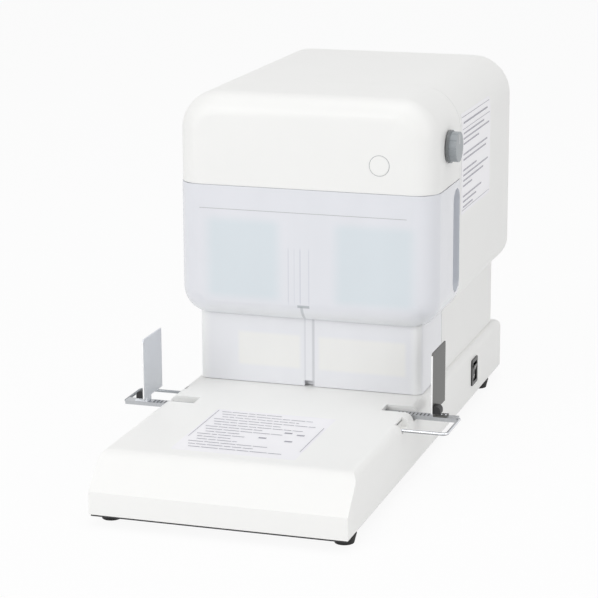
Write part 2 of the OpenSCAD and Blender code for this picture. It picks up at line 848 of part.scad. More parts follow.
module drive_motor() color("#55585C") {
    difference() {
        union() {
            upright(0, motor_y, bracket_z1, bracket_z1 + motor_h, motor_d / 2);
            upright(0, motor_y, bracket_z1 + motor_h - eps, bracket_z1 + motor_h + 5, 14);
        }
        upright(0, motor_y, bracket_z1 - 1, bracket_z1 + 30, 3 + run_fit);
        // cooling slots around the upper rim
        for (a = [0:45:359])
            translate([0, motor_y, bracket_z1 + motor_h - 12]) rotate([0, 0, a])
                block([motor_d / 2 - 2, -6, -2.5], [motor_d / 2 + 1, 6, 2.5]);
    }
}

module drive_pulley() color("#3B3D40") {
    z = pulley_z0;
    upright(0, motor_y, z, z + pulley_h, motor_pulley_d / 2);
    upright(0, motor_y, z - 1, z + eps, motor_pulley_d / 2 + 2);
    upright(0, motor_y, z + pulley_h - eps, z + pulley_h + 1, motor_pulley_d / 2 + 2);
    upright(0, motor_y, z, bracket_z1 + 25, 3);
}

// Outline around the three pulleys, grown by g
module belt_outline(g) {
    hull() {
        for (s = [-1, 1])
            translate([s * hole_x, drill_y]) circle(pulley_d / 2 + g, $fn = 48);
        translate([0, motor_y]) circle(motor_pulley_d / 2 + g, $fn = 48);
    }
}

module drive_belt() color("#1E1E1F") {
    translate([0, 0, pulley_z0 + 1]) linear_extrude(pulley_h - 2) difference() {
        belt_outline(seat_gap + belt_t);
        belt_outline(seat_gap);
    }
}

// Chip tube: up around the spindle, over, and down above the bin
module chip_tube(s) color("#B8BBBE") {
    z_bend = spindle_top + 16;
    run = drill_y - mouth_y - 2 * tube_bend;
    translate([s * hole_x, 0, 0]) {
        difference() {
            union() {
                upright(0, drill_y, bracket_z0, z_bend, tube_r);
                upright(0, drill_y, bracket_z1, bracket_z1 + 2, tube_r + 3);
                tube_bends(z_bend, run, tube_r);
            }
            upright(0, drill_y, bracket_z0 - 1, z_bend, tube_r - tube_wall);
            tube_bends(z_bend, run, tube_r - tube_wall);
            upright(0, mouth_y, z_bend - 1, z_bend, tube_r - tube_wall);
        }
    }
}

module tube_bends(z, run, r) {
    translate([0, drill_y - tube_bend, z]) rotate([90, 0, 90])
        rotate_extrude(angle = 90) translate([tube_bend, 0]) circle(r);
    translate([0, drill_y - tube_bend, z + tube_bend]) rotate([90, 0, 0])
        cylinder(h = run, r = r);
    translate([0, mouth_y + tube_bend, z]) rotate([90, 0, 90]) rotate([0, 0, 90])
        rotate_extrude(angle = 90) translate([tube_bend, 0]) circle(r);
}

// Hollow spindle with its chuck below and its pulley above the carriage
module spindle(s) color("#CDD0D4") translate([s * hole_x, drill_y, 0]) {
    bore = bit_d / 2 - bit_wall;
    difference() {
        union() {
            upright(0, 0, chuck_z, chuck_z + 5, chuck_r);
            upright(0, 0, chuck_z + 5 - eps, carriage_z0 - 0.5, chuck_r + 4);
            upright(0, 0, carriage_z0 - 1, pulley_z0, spindle_r);
            upright(0, 0, pulley_z0 - 1, pulley_z0, pulley_d / 2 + 2);
            upright(0, 0, pulley_z0 - eps, pulley_z0 + pulley_h, pulley_d / 2);
            upright(0, 0, pulley_z0 + pulley_h - eps, pulley_z0 + pulley_h + 1, pulley_d / 2 + 2);
            upright(0, 0, pulley_z0 + pulley_h, spindle_top, upper_r);
        }
        upright(0, 0, chuck_z - 1, spindle_top + 1, bore);
        upright(0, 0, chuck_z - 1, chuck_z + 10, bit_d / 2);
        // flats for the spanner
        for (m = [-1, 1])
            block([m > 0 ? chuck_r + 2 : -chuck_r - 5, -20, chuck_z + 6],
                [m > 0 ? chuck_r + 5 : -chuck_r - 2, 20, carriage_z0 - 2]);
    }
}

module hollow_bit(s) color("#D9DCDF") translate([s * hole_x, drill_y, 0]) {
    difference() {
        union() {
            upright(0, 0, tip_z + 1.5, chuck_z + 10, bit_d / 2);
            translate([0, 0, tip_z]) cylinder(h = 1.5, r1 = bit_d / 2 - bit_wall * 0.8, r2 = bit_d / 2);
        }
        upright(0, 0, tip_z - 1, chuck_z + 11, bit_d / 2 - bit_wall);
    }
}

// ---------- clamp ----------

// Pressure plate, with a slot open to the front for each bit
module clamp_plate() color("#AEB1B5") {
    r = clamp_slot / 2;
    difference() {
        block([-clamp_half, clamp_front, clamp_z0], [clamp_half, clamp_back, clamp_z1]);
        for (s = [-1, 1]) {
            upright(s * hole_x, drill_y, clamp_z0 - 1, clamp_z1 + 1, r);
            block([s * hole_x - r, clamp_front - 1, clamp_z0 - 1], [s * hole_x + r, drill_y, clamp_z1 + 1]);
        }
    }
}

module clamp_rods() color("#D5D8DC") {
    for (s = [-1, 1]) {
        upright(s * rod_x, drill_y, clamp_z1, carriage_z1 + 6, clamp_rod_r);
        upright(s * rod_x, drill_y, carriage_z1 + seat_gap, carriage_z1 + 6, clamp_rod_r + 3);
    }
}

// Compression spring around a clamp rod, as one wound wire
module clamp_spring(s) color("#8B8E92") {
    turns = 7;
    steps = 14;
    sides = 6;
    z0 = clamp_z1 + spring_wire / 2 + 0.1;
    z1 = carriage_z0 - spring_wire / 2 - 0.1;
    count = turns * steps;
    ring_points = [for (i = [0:count], j = [0:sides - 1])
        let (a = 360 * i / steps, b = 360 * j / sides, r = spring_r + spring_wire / 2 * cos(b))
        [s * rod_x + r * cos(a), drill_y + r * sin(a),
            z0 + (z1 - z0) * i / count + spring_wire / 2 * sin(b)]];
    walls = [for (i = [0:count - 1], j = [0:sides - 1])
        let (a = i * sides + j, b = i * sides + (j + 1) % sides)
        each [[a, b, a + sides], [b, b + sides, a + sides]]];
    ends = [[for (j = [sides - 1:-1:0]) j], [for (j = [0:sides - 1]) count * sides + j]];
    polyhedron(ring_points, concat(walls, ends));
}

// ---------- paper guides ----------

// One flank point of an involute tooth at a radius
function inv(a) = tan(a) * 180 / PI - a;
function flank(base, r, half) = let (a = acos(min(1, base / r))) half - inv(a);

// Pinion outline: one tooth points along +Y
module pinion_outline() {
    base = pitch_r * cos(20);
    tip = pitch_r + gear_m;
    bottom = pitch_r - root;
    half = 90 / pinion_teeth - backlash / 4 * 180 / PI / pitch_r + inv(20);
    radii = [for (i = [0:4]) max(base, bottom) + (tip - max(base, bottom)) * i / 4];
    polygon([for (k = [0:pinion_teeth - 1]) let (mid = 90 + 360 * k / pinion_teeth) each concat(
        [bottom * [cos(mid - half), sin(mid - half)]],
        [for (r = radii) let (a = mid - flank(base, r, half)) r * [cos(a), sin(a)]],
        [for (i = [4:-1:0]) let (r = radii[i], a = mid + flank(base, r, half)) r * [cos(a), sin(a)]],
        [bottom * [cos(mid + half), sin(mid + half)]])]);
}

module guide_pinion() color("#E8E6DF") {
    difference() {
        translate([0, pinion_y, arm_z0]) union() {
            linear_extrude(arm_t) pinion_outline();
            translate([0, 0, -0.2]) cylinder(h = 0.2 + eps, r = pitch_r - root - 1);
        }
        upright(0, pinion_y, arm_z0 - 1, arm_z1 + 1, 4 + run_fit);
    }
}

// Rack outline: teeth face the pinion, with a gap opposite its tooth
module rack_outline(x0, x1) {
    y = pitch_r;
    tooth = pitch / 4 - backlash / 4;
    lean = tan(20);
    n0 = ceil(x0 / pitch);
    n1 = floor(x1 / pitch);
    polygon(concat(
        [[x0 - pitch, y + root + arm_w], [x0 - pitch, y + root]],
        [for (n = [n0:n1 - 1]) let (x = (n + 0.5) * pitch) each [
            [x - tooth - root * lean, y + root], [x - tooth + gear_m * lean, y - gear_m],
            [x + tooth - gear_m * lean, y - gear_m], [x + tooth + root * lean, y + root]]],
        [[x1 + pitch, y + root], [x1 + pitch, y + root + arm_w]]));
}

// Right-hand arm; the left one is the same arm turned half round about the pinion
module rack_arm_form() color("#C4C7CB") {
    x_in = -pitch_r - 4;
    teeth_end = guide_travel + pitch_r + 2;
    y_out = pinion_y + pitch_r + root;
    translate([0, pinion_y, arm_z0]) linear_extrude(arm_t) rack_outline(x_in, teeth_end);
    block([teeth_end, y_out, arm_z0], [rod_x_out - rod_r, y_out + arm_w, arm_z1]);
}

// Bent rod that ties the arm's outer end to its own bearing hole in the base
module guide_rod_form(far) color("#D5D8DC") {
    bend = 5;
    y0 = pinion_y - far;
    y1 = pinion_y + arm_mid;
    rod_along_x(base_w / 2 - 62, rod_x_out - bend, y0, rod_z, rod_r);
    translate([rod_x_out - bend, y0 + bend, rod_z]) rotate([0, 0, -90])
        rotate_extrude(angle = 90) translate([bend, 0]) circle(rod_r);
    translate([rod_x_out, y0 + bend, rod_z]) rotate([-90, 0, 0])
        cylinder(h = y1 - y0 - bend, r = rod_r);
}

// Front edge of a guide plate
function plate_y0(s) = pinion_y + s * arm_mid + plate_shift - guide_len / 2;

// Upright plate with a tab down to its arm
module guide_plate(s) color("#B9BDC0") side(s) {
    y_mid = pinion_y + s * arm_mid;
    y0 = plate_y0(s);
    y1 = y0 + guide_len;
    z0 = table_z + 0.7;
    clip = 3;
    along_x(guide_x, guide_x + guide_t) polygon([
        [y_mid - arm_w / 2, arm_z1], [y_mid + arm_w / 2, arm_z1], [y_mid + arm_w / 2, z0],
        [y1, z0], [y1, table_z + guide_h], [y0 + clip, table_z + guide_h],
        [y0, table_z + guide_h - clip], [y0, z0], [y_mid - arm_w / 2, z0]]);
    block([guide_x, y_mid - arm_w / 2, arm_z1], [guide_x + 14, y_mid + arm_w / 2, arm_z1 + guide_t]);
}

// Finger grip at the foot of a plate, outside
module guide_grip(s) color("#202022") side(s) {
    x0 = guide_x + guide_t;
    y = plate_y0(s) + 1;
    z0 = table_z + 1;
    r = grip_out - 3;
    along_y(y, y + grip_len) polygon(concat(
        [[x0, z0], [x0 + grip_out, z0]],
        arc([x0 + grip_out - r, z0 + 3], r, 0, 90, 6),
        [[x0, z0 + 3 + r]]));
}

module slot_floor(x0) {
    y = pinion_y + arm_mid - (root + gear_m) / 2;
    block([x0 - eps, y - slot_w / 2, tray_z1 - tray_t],
        [base_w / 2 - base_wall - seat_gap, y + slot_w / 2, tray_z1]);
}

module guide_tray() color("#C9CBCD") {
    half = slot_x - 3;
    post_t = 3;
    y0 = pinion_y - rod_far_right - rod_r - slide_gap - post_t;
    y1 = pinion_y + max(rod_far_left + rod_r, arm_mid + arm_w / 2) + slide_gap + post_t;
    block([-half, y0, tray_z1 - tray_t], [half, y1, tray_z1]);
    for (x = [-1, 1], y = [y0, y1 - post_t])
        block([x * half - 5, y, tray_z1 - eps], [x * half + 5, y + post_t, table_under]);
    upright(0, pinion_y, tray_z1 - eps, table_under, 4);
    // floors under the two slots of the table
    slot_floor(half);
    turned_about_pinion() slot_floor(half);
    // end blocks with the bearing holes of the two rods
    for (p = [[1, -rod_far_right], [-1, rod_far_left]])
        translate([0, pinion_y + p[1], 0]) side(p[0]) difference() {
            block([half - 12, -5, tray_z1 - tray_t], [half, 5, table_under]);
            rod_along_x(half - 13, half + 1, 0, rod_z, rod_r + run_fit);
        }
}

// ---------- control board ----------

// Board on four posts, with a relay, a smaller relay and two capacitors
module control_board() color("#3C6B4E") {
    board = [1.6, 110, 140];
    post = 6;
    edge = 8;
    relay = [20, 30, 30];
    small_relay = [12, 30, 20];
    cap_r = 9;
    cap_h = 24;
    translate([-side_in + post, side_y1 - 20 - board[1], head_z0 + 40]) {
        cube(board);
        for (y = [edge, board[1] - edge], z = [edge, board[2] - edge])
            rod_along_x(-post, eps, y, z, 3);
        translate([board[0], 20, 20]) cube(relay);
        translate([board[0], 60, 20]) cube(small_relay);
        for (y = [30, 60])
            rod_along_x(board[0] - eps, board[0] + cap_h, y, 90, cap_r);
    }
}

// ---------- placing ----------

base_housing();
base_plate();
feet();
power_inlet();
switch_frame();
rocker();
power_supply();
side_plate(-1);  // side_plate_left
side_plate(1);  // side_plate_right
top_plate();
guide_posts();
die_block();
cutting_disc(-1);  // cutting_disc_left
cutting_disc(1);  // cutting_disc_right
paper_fence();
column_cover();
rear_housing();
front_cover();
control_board();
guard_rails();
bin_rails();
start_switch();
start_button();
depth_control();
depth_knob();
chip_bin();
lower_guard();
feed_motor();
feed_screw();
carriage();
feed_nut();
spindle_bearings();
motor_bracket();
drive_motor();
drive_pulley();
drive_belt();
chip_tube(-1);  // chip_tube_left
chip_tube(1);  // chip_tube_right
spindle(-1);  // spindle_left
spindle(1);  // spindle_right
hollow_bit(-1);  // hollow_bit_left
hollow_bit(1);  // hollow_bit_right
clamp_plate();
clamp_rods();
clamp_spring(-1);  // clamp_spring_left
clamp_spring(1);  // clamp_spring_right
guide_tray();
guide_pinion();
turned_about_pinion() rack_arm_form();  // rack_arm_left
rack_arm_form();  // rack_arm_right
turned_about_pinion() guide_rod_form(rod_far_left);  // guide_rod_left
guide_rod_form(rod_far_right);  // guide_rod_right
guide_plate(-1);  // guide_plate_left
guide_plate(1);  // guide_plate_right
guide_grip(-1);  // guide_grip_left
guide_grip(1);  // guide_grip_right
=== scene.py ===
"""Electric paper drill on a pale studio floor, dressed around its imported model."""
import json
import math

import bmesh
import bpy
from mathutils import Matrix, Vector


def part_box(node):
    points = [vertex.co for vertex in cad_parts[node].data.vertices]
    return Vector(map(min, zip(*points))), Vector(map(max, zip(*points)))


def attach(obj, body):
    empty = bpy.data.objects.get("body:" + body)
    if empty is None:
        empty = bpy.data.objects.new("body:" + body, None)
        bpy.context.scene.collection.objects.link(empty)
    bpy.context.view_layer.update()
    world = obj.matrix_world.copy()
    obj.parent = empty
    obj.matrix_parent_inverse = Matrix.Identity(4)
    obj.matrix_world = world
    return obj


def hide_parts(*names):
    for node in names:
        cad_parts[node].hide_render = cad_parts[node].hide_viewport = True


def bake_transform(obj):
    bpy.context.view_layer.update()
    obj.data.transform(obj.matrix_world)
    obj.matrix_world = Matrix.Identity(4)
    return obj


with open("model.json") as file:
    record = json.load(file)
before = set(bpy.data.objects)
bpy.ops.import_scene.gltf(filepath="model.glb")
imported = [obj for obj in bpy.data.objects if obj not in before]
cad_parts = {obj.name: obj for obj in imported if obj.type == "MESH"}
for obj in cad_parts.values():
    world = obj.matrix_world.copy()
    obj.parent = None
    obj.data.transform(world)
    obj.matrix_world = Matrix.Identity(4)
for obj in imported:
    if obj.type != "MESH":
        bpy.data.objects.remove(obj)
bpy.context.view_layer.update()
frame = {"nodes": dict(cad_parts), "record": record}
nodes = frame["nodes"]
MM = 0.001

# ---------- camera ----------

CAMERA_TURN = 17.752
CAMERA_TILT = 14.169
CAMERA_ROLL = -0.291
CAMERA_DISTANCE = 2.197
CAMERA_TARGET = Vector((0.0556, -0.2297, 0.2191))
CAMERA_LENS = 137.85
SENSOR_WIDTH = 36
CLIP_END = 20


def add_camera():
    """Camera that looks at its target from the photograph's side and height."""
    turn, tilt, roll = (math.radians(a) for a in (CAMERA_TURN, CAMERA_TILT, CAMERA_ROLL))
    back = Vector((math.sin(turn) * math.cos(tilt), -math.cos(turn) * math.cos(tilt), math.sin(tilt)))
    right = Vector((math.cos(turn), math.sin(turn), 0))
    up = back.cross(right)
    level_right = math.cos(roll) * right + math.sin(roll) * up
    level_up = math.cos(roll) * up - math.sin(roll) * right
    data = bpy.data.cameras.new("camera")
    data.lens = CAMERA_LENS
    data.sensor_width = SENSOR_WIDTH
    data.clip_end = CLIP_END
    camera = bpy.data.objects.new("camera", data)
    place = Matrix((level_right, level_up, back)).transposed().to_4x4()
    place.translation = CAMERA_TARGET + CAMERA_DISTANCE * back
    camera.matrix_world = place
    bpy.context.scene.collection.objects.link(camera)
    bpy.context.scene.camera = camera


# ---------- shader maths ----------


def linear(colour):
    """Scene colour of a web colour such as 'f4f4f2'."""
    parts = [int(colour[i:i + 2], 16) / 255 for i in (0, 2, 4)]
    return [c / 12.92 if c <= 0.04045 else ((c + 0.055) / 1.055) ** 2.4 for c in parts] + [1.0]


# Numbers of the Mix node's sockets when it mixes colours.
MIX_FACTOR, MIX_LOW, MIX_HIGH, MIX_COLOUR = 0, 6, 7, 2


class Level:
    """A socket that holds a value at each point; arithmetic on it becomes Math nodes."""

    def __init__(self, finish, socket):
        self.finish = finish
        self.socket = socket

    def math(self, operation, a, b=None):
        values = {0: a} if b is None else {0: a, 1: b}
        return self.finish.node("Math", {"operation": operation}, values)

    def __add__(self, other):
        return self.math("ADD", self, other)

    def __mul__(self, other):
        return self.math("MULTIPLY", self, other)

    def __abs__(self):
        return self.math("ABSOLUTE", self)

    def __rsub__(self, other):
        return self.math("SUBTRACT", other, self)

    def spread(self, middle, width):
        """A level from 0 to 1 brought to a range of this width around a middle value."""
        return self * width + (middle - width / 2)


class Finish:
    """A material with one Principled shader, built up by expressions."""

    def __init__(self, name, colour, roughness, **constants):
        self.material = bpy.data.materials.new(name)
        self.material.use_nodes = True
        self.tree = self.material.node_tree
        self.shader = self.tree.nodes["Principled BSDF"]
        self.shader.inputs["Base Color"].default_value = linear(colour)
        self.shader.inputs["Roughness"].default_value = roughness
        for key, value in constants.items():
            self.shader.inputs[key.replace("_", " ")].default_value = value
        self.place = self.node("TexCoord", {}, {}, "Object")

    def node(self, kind, settings, values, output=0):
        """Adds a node, sets it up, feeds its sockets, and gives one of its outputs."""
        made = self.tree.nodes.new("ShaderNode" + kind)
        for key, value in settings.items():
            setattr(made, key, value)
        for key, value in values.items():
            if isinstance(value, Level):
                self.tree.links.new(value.socket, made.inputs[key])
            else:
                made.inputs[key].default_value = value
        return Level(self, made.outputs[output])

    def feed(self, socket, level):
        """Lets a level drive one socket of the shader."""
        self.tree.links.new(level.socket, self.shader.inputs[socket])

    def axis(self, which):
        """Place along X, Y or Z, in metres."""
        return self.node("SeparateXYZ", {}, {"Vector": self.place}, which)

    def rise(self, level, start, end):
        """0 up to start and 1 from end on, with a soft step between."""
        return self.node("MapRange", {"interpolation_type": "SMOOTHSTEP"}, {
            "Value": level, "From Min": start, "From Max": end})

    def band(self, level, low, high, soft):
        """1 between low and high, fading out over soft."""
        return self.rise(level, low - soft, low + soft) * (1 - self.rise(level, high - soft, high + soft))

    def stretched(self, scale):
        """The place with its axes scaled, for streaks."""
        return self.node("Mapping", {}, {"Vector": self.place, "Scale": scale})

    def noise(self, grain, detail=2, place=None):
        """Soft noise around 0.5; grain is the size of its spots in metres."""
        return self.node("TexNoise", {}, {
            "Vector": place or self.place, "Scale": 1 / grain, "Detail": detail})

    def cells(self, grain):
        """Distance from the nearest of scattered points, for a sparked mould texture."""
        return self.node("TexVoronoi", {}, {"Vector": self.place, "Scale": 1 / grain})

    def mixed(self, mask, low, high):
        """Colour that goes from low to high with the mask; low may be a mix already."""
        first = low if isinstance(low, Level) else linear(low)
        return self.node("Mix", {"data_type": "RGBA"}, {
            MIX_FACTOR: mask, MIX_LOW: first, MIX_HIGH: linear(high)}, MIX_COLOUR)

    def bump(self, height, distance):
        """Unevenness of the surface, distance deep."""
        self.feed("Normal", self.node("Bump", {}, {
            "Height": height, "Distance": distance, "Strength": 1.0}))


# ---------- finishes ----------


def moulded(name, colour, shade, roughness, grain=0.6 * MM, depth=0.012 * MM):
    """Injection moulded plastic: sparked texture, and a faint cloudiness from the melt."""
    f = Finish(name, colour, roughness)
    cloud = f.noise(60 * MM, 3)
    f.feed("Base Color", f.mixed(cloud, shade, colour))
    f.feed("Roughness", cloud.spread(roughness, 0.08))
    f.bump(f.cells(grain) + f.noise(grain * 0.6) * 0.6, depth)
    return f.material


def lacquered(name, colour, shade, roughness):
    """Powder-coated sheet: orange peel over a low sheen."""
    f = Finish(name, colour, roughness, Coat_Weight=0.15, Coat_Roughness=0.3)
    f.feed("Base Color", f.mixed(f.noise(90 * MM), shade, colour))
    f.bump(f.noise(1.6 * MM, 3), 0.03 * MM)
    return f.material


def brushed(name, colour, shade, roughness, along):
    """Steel with brush lines along one axis."""
    f = Finish(name, colour, roughness, Metallic=1.0)
    per_metre_along, per_metre_across = 60, 2600
    scale = [per_metre_along if i == along else per_metre_across for i in range(3)]
    lines = f.noise(1, 3, f.stretched(scale))
    f.feed("Base Color", f.mixed(lines, shade, colour))
    f.feed("Roughness", lines.spread(roughness, 0.22))
    f.bump(lines, 0.01 * MM)
    return f.material


def ground_steel(name, colour, roughness):
    """Bright steel with the faintest unevenness."""
    f = Finish(name, colour, roughness, Metallic=1.0)
    f.feed("Roughness", f.noise(9 * MM, 3).spread(roughness, 0.1))
    f.bump(f.noise(0.5 * MM), 0.002 * MM)
    return f.material


def clear_plastic(name, colour, shade, alpha, roughness):
    """Pale milky plastic that lets a little through, with faint flow marks. Gives the finish
    and its colour so far, for the caller to go on with."""
    f = Finish(name, colour, roughness, Coat_Weight=0.25, Coat_Roughness=0.12)
    flow = f.noise(45 * MM, 2, f.stretched([1, 1, 0.35]))
    f.feed("Alpha", flow.spread(alpha, 0.05))
    f.bump(f.noise(0.7 * MM), 0.006 * MM)
    return f, f.mixed(flow, shade, colour)


def bin_plastic():
    """The bin: painted bluish shade where two hollow chip chambers lie behind the front wall, the ribs
    between them, painted shade in the T-shaped gap of a latch with its upright under them, painted
    shade in the finger recesses in the sides, and a foot painted lighter where it turns under."""
    f, colour = clear_plastic("blue clear bin", "eff0f5", "ebedf2", 0.93, 0.22)
    x, y, z = (f.axis(i) for i in range(3))
    front = 1 - f.rise(y, -30 * MM, -22 * MM)
    across = f.band(x, -106 * MM, -28 * MM, 9 * MM) + f.band(x, 35 * MM, 118 * MM, 9 * MM)
    # Painted shade: a darker bluish tone where the hollow chip chambers lie behind the front wall.
    room_shade = across * f.band(z, 166 * MM, 250 * MM, 7 * MM)
    colour = f.mixed(room_shade * front, colour, "e2eaef")
    # Painted light: the lower front is made lighter where it turns under, against its shading.
    foot = 1 - f.rise(z, 143 * MM, 163 * MM)
    colour = f.mixed(foot * front, colour, "f3f5f7")
    for place, depth in ((-17, 0.35), (-10.5, 0.2), (-4, 0.5), (5.5, 0.35)):
        rib = f.band(x, (place - 0.5) * MM, (place + 0.5) * MM, 0.5 * MM)
        rib = rib * f.band(z, 163 * MM, 222 * MM, 3 * MM) * front
        colour = f.mixed(rib * depth, colour, "c3c5d2")
    # Painted shade in the T-shaped gap of the latch and its upright.
    catch_shade = f.band(x, -7.5 * MM, 5.7 * MM, 0.5 * MM) * f.band(z, 158.5 * MM, 161.5 * MM, 0.5 * MM)
    stem_shade = f.band(x, -4.6 * MM, -1.6 * MM, 0.7 * MM) * f.band(z, 138 * MM, 159 * MM, 1.5 * MM)
    colour = f.mixed((catch_shade + stem_shade * 0.7) * front * 0.75, colour, "aeb4b8")
    # Painted shade in the finger recess on each side.
    recess = f.band(y, 37 * MM, 63 * MM, 0.8 * MM) * f.band(z, 166.5 * MM, 277 * MM, 0.8 * MM)
    recess = recess * f.rise(abs(x), 125 * MM, 130 * MM) * (1 - f.rise(abs(x), 134 * MM, 135.5 * MM))
    colour = f.mixed(recess, colour, "a8b1ba")
    f.feed("Base Color", colour)
    return f.material


def guard_plastic():
    """The guard: frosted, with two clearer areas beside its middle rib, painted lighter where the lit
    column shows through, painted shade on the rib's shaded side, and painted highlights on its corners.
    """
    f, colour = clear_plastic("frosted guard", "f2f3f6", "eff0f4", 0.95, 0.3)
    x, y, z = (f.axis(i) for i in range(3))
    front = 1 - f.rise(y, -20 * MM, -15 * MM)
    # Painted light: lighter, warmer areas where the lit column shows through.
    across = f.band(x, -79 * MM, -10 * MM, 3 * MM) + f.band(x, 11 * MM, 106 * MM, 3 * MM)
    lit_fields = across * f.band(z, 88 * MM, 124 * MM, 3 * MM)
    colour = f.mixed(lit_fields * front, colour, "f6f6f4")
    # Painted shade along the rib's shaded side.
    rib = f.band(x, 3.4 * MM, 6.2 * MM, 0.8 * MM) * front
    colour = f.mixed(rib * 0.55, colour, "bfc1c6")
    edge = f.band(x, -5.4 * MM, -3.6 * MM, 0.6 * MM) * front
    colour = f.mixed(edge * 0.35, colour, "c6c8ce")
    # Painted highlight on the guard's corners.
    corner = f.rise(abs(x), 108 * MM, 120 * MM) * front
    colour = f.mixed(corner, colour, "fafbfb")
    f.feed("Base Color", colour)
    return f.material


def knob_plastic():
    """Grey knob with painted shade on the flange at its root, where it meets the cover."""
    f = Finish("grey knob", "989da0", 0.36)
    shade = f.mixed(f.noise(14 * MM), "999ea2", "a2a7aa")
    # Painted shade on the flange at the knob's root.
    f.feed("Base Color", f.mixed(1 - f.rise(f.axis(0), 144.6 * MM, 145 * MM), shade, "75787a"))
    f.bump(f.cells(0.5 * MM), 0.01 * MM)
    return f.material


def plate_steel(name, node, face, shade):
    """Sheet steel with brushed faces and a painted highlight along its cut edge at the front."""
    f = Finish(name, face, 0.44, Metallic=0.6)
    streaks = f.noise(0.5 * MM, 2, f.stretched([1, 1, 0.04]))
    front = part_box(node)[0][1]
    colour = f.mixed(streaks, shade, face)
    # Painted highlight along the cut front edge.
    edge = 1 - f.rise(f.axis(1), front + 0.25 * MM, front + 0.5 * MM)
    f.feed("Base Color", f.mixed(edge, colour, "f6f6f6"))
    f.feed("Roughness", streaks.spread(0.44, 0.12))
    f.bump(streaks, 0.004 * MM)
    return f.material


def knurled(name, crest, valley_shade, pitch):
    """Rod steel with a crossed knurl, its grooves painted dark as shade."""
    f = Finish(name, crest, 0.34, Metallic=0.7)
    x, y, z = (f.axis(i) for i in range(3))
    turn = 2 * math.pi / pitch
    waves = [f.node("Math", {"operation": "SINE"}, {0: (x + (y + z) * side) * turn})
             for side in (1, -1)]
    ridge = waves[0] * waves[1] * 0.5 + 0.5
    # Grooves painted dark as shade between the knurl's crests.
    f.feed("Base Color", f.mixed(ridge, valley_shade, crest))
    f.bump(ridge, 0.15 * MM)
    return f.material


def shaded_rod(name, node):
    """Bright round rod, with painted shade along its underside and a painted grey reflection along its
    top.
    """
    f = Finish(name, "d6d8dc", 0.2, Metallic=1.0)
    low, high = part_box(node)[0][2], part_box(node)[1][2]
    up, thick = f.axis(2), high - low
    # Painted shade along the underside, and a painted grey reflection along the top.
    shade = f.mixed(f.rise(up, low + 0.32 * thick, low + 0.4 * thick), "707274", "dcdee2")
    f.feed("Base Color", f.mixed(f.rise(up, low + 0.86 * thick, low + 0.92 * thick), shade, "a9abae"))
    f.feed("Roughness", f.noise(9 * MM).spread(0.2, 0.1))
    return f.material


def rubber(name, colour):
    """Black rubber with a little dust on it."""
    f = Finish(name, colour, 0.75)
    dust = f.noise(5 * MM, 4)
    f.feed("Roughness", dust.spread(0.75, 0.2))
    f.feed("Base Color", f.mixed(dust, colour, "2e2e2d"))
    f.bump(f.noise(0.8 * MM, 3), 0.04 * MM)
    return f.material


def cast(name, colour, shade):
    """Cast and machined metal."""
    f = Finish(name, colour, 0.45, Metallic=0.9)
    f.feed("Base Color", f.mixed(f.noise(12 * MM, 4), shade, colour))
    f.bump(f.noise(1.2 * MM, 4), 0.05 * MM)
    return f.material


def label_sheet(name, colour, shade):
    """Coated label film."""
    f = Finish(name, colour, 0.35, Coat_Weight=0.2, Coat_Roughness=0.2)
    f.feed("Base Color", f.mixed(f.noise(30 * MM), shade, colour))
    f.bump(f.noise(3 * MM), 0.004 * MM)
    return f.material


FINISHES = {
    "housing_white": moulded("white housing", "f9f9f7", "f7f7f5", 0.48),
    "cover_white": moulded("white cover", "f6f6f4", "f3f3f1", 0.42),
    "bin_clear": bin_plastic(),
    "guard_clear": guard_plastic(),
    "dark_steel": lacquered("black bottom plate", "2a2a2b", "232324", 0.5),
    "frame_steel": brushed("zinc plated frame", "b4b6ba", "a2a4a9", 0.38, 2),
    "bright_steel": ground_steel("ground steel", "d6d8dc", 0.16),
    "guide_steel": brushed("guide steel", "c3c5c8", "aeb0b3", 0.32, 2),
    "cast_iron": cast("machined cast iron", "86888c", "74767a"),
    "carriage_alu": cast("cast aluminium", "a9abb0", "96989d"),
    "bronze": ground_steel("feed nut bronze", "c9a35a", 0.28),
    "motor_grey": lacquered("motor lacquer", "595b5f", "505256", 0.42),
    "black_plastic": moulded("black plastic", "1f1f21", "18181a", 0.5),
    "black_gloss": moulded("black gloss plastic", "0f0f10", "0c0c0d", 0.34, depth=0.003 * MM),
    "knob_grey": knob_plastic(),
    "rubber": rubber("foot rubber", "191919"),
    "disc_nylon": moulded("cutting disc nylon", "efe9d6", "e8e1cc", 0.45),
    "gear_nylon": moulded("gear nylon", "e4e2da", "dcdad1", 0.45),
    "board_green": lacquered("board lacquer", "2f6a49", "28593d", 0.35),
}
OWN_FINISH = {
    # One steel for both guide plates, painted with a bright reflection on the left and a dark reflection
    # on the right.
    "guide_plate_left": plate_steel("guide plate painted bright reflection", "guide_plate_left", "e2e5e9", "d5d8dd"),
    "guide_plate_right": plate_steel("guide plate painted dark reflection", "guide_plate_right", "676765", "5f5f5d"),
    "guide_tray": lacquered("light guide tray", "eeeeec", "e8e8e6", 0.5),
    "guide_rod_left": knurled("knurled guide rod", "c9cdd1", "5d6064", 1.7 * MM),
    "guide_rod_right": shaded_rod("shaded guide rod", "guide_rod_right"),
}
LABEL = label_sheet("bare label film", "fbfafd", "f9f8fb")
LABEL_LINE = label_sheet("label print grey", "a3a1ac", "9a98a4")
MARK = label_sheet("white switch mark", "f2f2f2", "e6e6e6")
# Painted shade for a groove or a gap.
GROOVE_SHADE = moulded("seam shade", "b9bbbd", "b0b2b4", 0.6)
SEAM = moulded("pale seam", "d9dbdd", "d2d4d6", 0.6)
# Painted shade for screw slots and the rack arms' slots.
SLOT_SHADE = lacquered("painted slot shade", "2c2d2f", "262728", 0.5)


